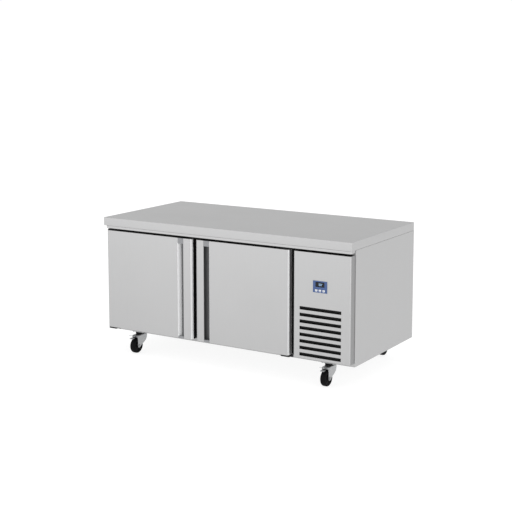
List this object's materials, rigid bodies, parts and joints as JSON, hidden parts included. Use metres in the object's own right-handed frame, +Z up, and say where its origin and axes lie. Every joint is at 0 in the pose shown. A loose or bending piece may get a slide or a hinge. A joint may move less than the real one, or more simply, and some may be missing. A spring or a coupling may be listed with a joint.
{
  "type": "undercounter refrigerator",
  "caption": "Long low stainless refrigerator with hinged doors, a flat worktop, a louvred condensing unit bay at its right end, and swivel casters.",
  "frame": {"origin": "on the floor, under the centre of the footprint", "axes": "+X to the right seen from the front, -Y to the front, +Z up"},
  "size_m": [1.829, 0.919, 0.896],
  "materials": {
    "stainless": "brushed stainless sheet, satin",
    "aluminium": "extruded or finned aluminium, satin",
    "black_plastic": "matt black moulding",
    "hinge_metal": "black coated steel",
    "gasket_rubber": "soft black magnetic gasket",
    "foam": "rigid insulating foam, sealed behind sheet",
    "zinc": "bright zinc plated steel",
    "shelf_coat": "white coated wire",
    "dark_metal": "black painted steel",
    "copper": "bare copper tube",
    "grey_plastic": "grey moulding",
    "blue_plate": "blue printed plastic plate",
    "key_plastic": "white key caps",
    "caster_metal": "bright zinc plated pressing",
    "caster_tyre": "black rubber wheel"
  },
  "bodies": {
    "cabinet": {"back_panel": "stainless", "base_pan": "stainless", "cable_gland": "black_plastic", "caster_front_left_plate": "caster_metal", "caster_front_right_plate": "caster_metal", "caster_rear_left_plate": "caster_metal", "caster_rear_right_plate": "caster_metal", "compressor": "dark_metal", "compressor_cover": "stainless", "condenser_coil": "aluminium", "condenser_fan_shroud": "dark_metal", "control_plate": "blue_plate", "controller": "black_plastic", "discharge_pipe": "copper", "electrical_box": "grey_plastic", "evaporation_pan": "grey_plastic", "evaporator_coil": "aluminium", "evaporator_cover": "stainless", "evaporator_fan_motor": "dark_metal", "front_frame": "black_plastic", "hinge_lower_left": "hinge_metal", "hinge_lower_right": "hinge_metal", "hinge_upper_left": "hinge_metal", "hinge_upper_right": "hinge_metal", "insulation": "foam", "liner": "stainless", "shelf_left": "shelf_coat", "shelf_rack_left": "zinc", "shelf_rack_right": "zinc", "shelf_right": "shelf_coat", "side_panel_left": "stainless", "side_panel_right": "stainless", "top_rail": "stainless", "unit_tray": "zinc", "worktop": "stainless"},
    "door_left": {"door_left_skin": "stainless", "door_left_handle": "aluminium", "door_left_core": "foam", "door_left_liner": "stainless", "door_left_gasket": "gasket_rubber"},
    "door_right": {"door_right_skin": "stainless", "door_right_handle": "aluminium", "door_right_core": "foam", "door_right_liner": "stainless", "door_right_gasket": "gasket_rubber"},
    "caster_front_left_swivel": {"caster_front_left_fork": "caster_metal"},
    "caster_front_left_roller": {"caster_front_left_wheel": "caster_tyre"},
    "caster_front_right_swivel": {"caster_front_right_fork": "caster_metal"},
    "caster_front_right_roller": {"caster_front_right_wheel": "caster_tyre"},
    "caster_rear_left_swivel": {"caster_rear_left_fork": "caster_metal"},
    "caster_rear_left_roller": {"caster_rear_left_wheel": "caster_tyre"},
    "caster_rear_right_swivel": {"caster_rear_right_fork": "caster_metal"},
    "caster_rear_right_roller": {"caster_rear_right_wheel": "caster_tyre"},
    "caster_front_left_brake": {"caster_front_left_pedal": "caster_metal"},
    "caster_front_right_brake": {"caster_front_right_pedal": "caster_metal"},
    "evaporator_rotor": {"evaporator_fan": "black_plastic"},
    "condenser_rotor": {"condenser_fan": "aluminium"},
    "set_button": {"key_set": "key_plastic"},
    "down_button": {"key_down": "key_plastic"},
    "up_button": {"key_up": "key_plastic"}
  },
  "joints": [
    {"name": "door_left_hinge", "type": "hinge", "parent": "cabinet", "child": "door_left", "pos_m": [-0.876, -0.4175, 0.162], "axis": [0, 0, -1], "range_deg": [0, 110]},
    {"name": "door_right_hinge", "type": "hinge", "parent": "cabinet", "child": "door_right", "pos_m": [0.477, -0.4175, 0.162], "axis": [0, 0, 1], "range_deg": [0, 110]},
    {"name": "caster_front_left_swivel_turn", "type": "hinge", "parent": "cabinet", "child": "caster_front_left_swivel", "pos_m": [-0.6935, -0.3515, 0.1207], "axis": [0, 0, 1], "continuous": true},
    {"name": "caster_front_left_wheel_roll", "type": "hinge", "parent": "caster_front_left_swivel", "child": "caster_front_left_roller", "pos_m": [-0.6935, -0.3935, 0.05], "axis": [1, 0, 0], "continuous": true},
    {"name": "caster_front_left_pedal_press", "type": "hinge", "parent": "caster_front_left_swivel", "child": "caster_front_left_brake", "pos_m": [-0.6935, -0.3975, 0.108], "axis": [1, 0, 0], "range_deg": [0, 12]},
    {"name": "caster_front_right_swivel_turn", "type": "hinge", "parent": "cabinet", "child": "caster_front_right_swivel", "pos_m": [0.7305, -0.3515, 0.1207], "axis": [0, 0, 1], "continuous": true},
    {"name": "caster_front_right_wheel_roll", "type": "hinge", "parent": "caster_front_right_swivel", "child": "caster_front_right_roller", "pos_m": [0.7305, -0.3935, 0.05], "axis": [1, 0, 0], "continuous": true},
    {"name": "caster_front_right_pedal_press", "type": "hinge", "parent": "caster_front_right_swivel", "child": "caster_front_right_brake", "pos_m": [0.7305, -0.3975, 0.108], "axis": [1, 0, 0], "range_deg": [0, 12]},
    {"name": "caster_rear_left_swivel_turn", "type": "hinge", "parent": "cabinet", "child": "caster_rear_left_swivel", "pos_m": [-0.6985, 0.3675, 0.1207], "axis": [0, 0, 1], "continuous": true},
    {"name": "caster_rear_left_wheel_roll", "type": "hinge", "parent": "caster_rear_left_swivel", "child": "caster_rear_left_roller", "pos_m": [-0.6985, 0.4095, 0.05], "axis": [1, 0, 0], "continuous": true},
    {"name": "caster_rear_right_swivel_turn", "type": "hinge", "parent": "cabinet", "child": "caster_rear_right_swivel", "pos_m": [0.7195, 0.3675, 0.1207], "axis": [0, 0, 1], "continuous": true},
    {"name": "caster_rear_right_wheel_roll", "type": "hinge", "parent": "caster_rear_right_swivel", "child": "caster_rear_right_roller", "pos_m": [0.7195, 0.4095, 0.05], "axis": [1, 0, 0], "continuous": true},
    {"name": "evaporator_fan_spin", "type": "hinge", "parent": "cabinet", "child": "evaporator_rotor", "pos_m": [0.3615, 0.0305, 0.59], "axis": [1, 0, 0], "continuous": true},
    {"name": "condenser_fan_spin", "type": "hinge", "parent": "cabinet", "child": "condenser_rotor", "pos_m": [0.7105, -0.2795, 0.325], "axis": [0, 1, 0], "continuous": true},
    {"name": "key_set_press", "type": "slide", "parent": "cabinet", "child": "set_button", "axis": [0, 1, 0], "range_m": [0, 0.0008], "stiffness_N_per_m": 400, "springref_m": -0.0005},
    {"name": "key_down_press", "type": "slide", "parent": "cabinet", "child": "down_button", "axis": [0, 1, 0], "range_m": [0, 0.0008], "stiffness_N_per_m": 400, "springref_m": -0.0005},
    {"name": "key_up_press", "type": "slide", "parent": "cabinet", "child": "up_button", "axis": [0, 1, 0], "range_m": [0, 0.0008], "stiffness_N_per_m": 400, "springref_m": -0.0005}
  ]
}
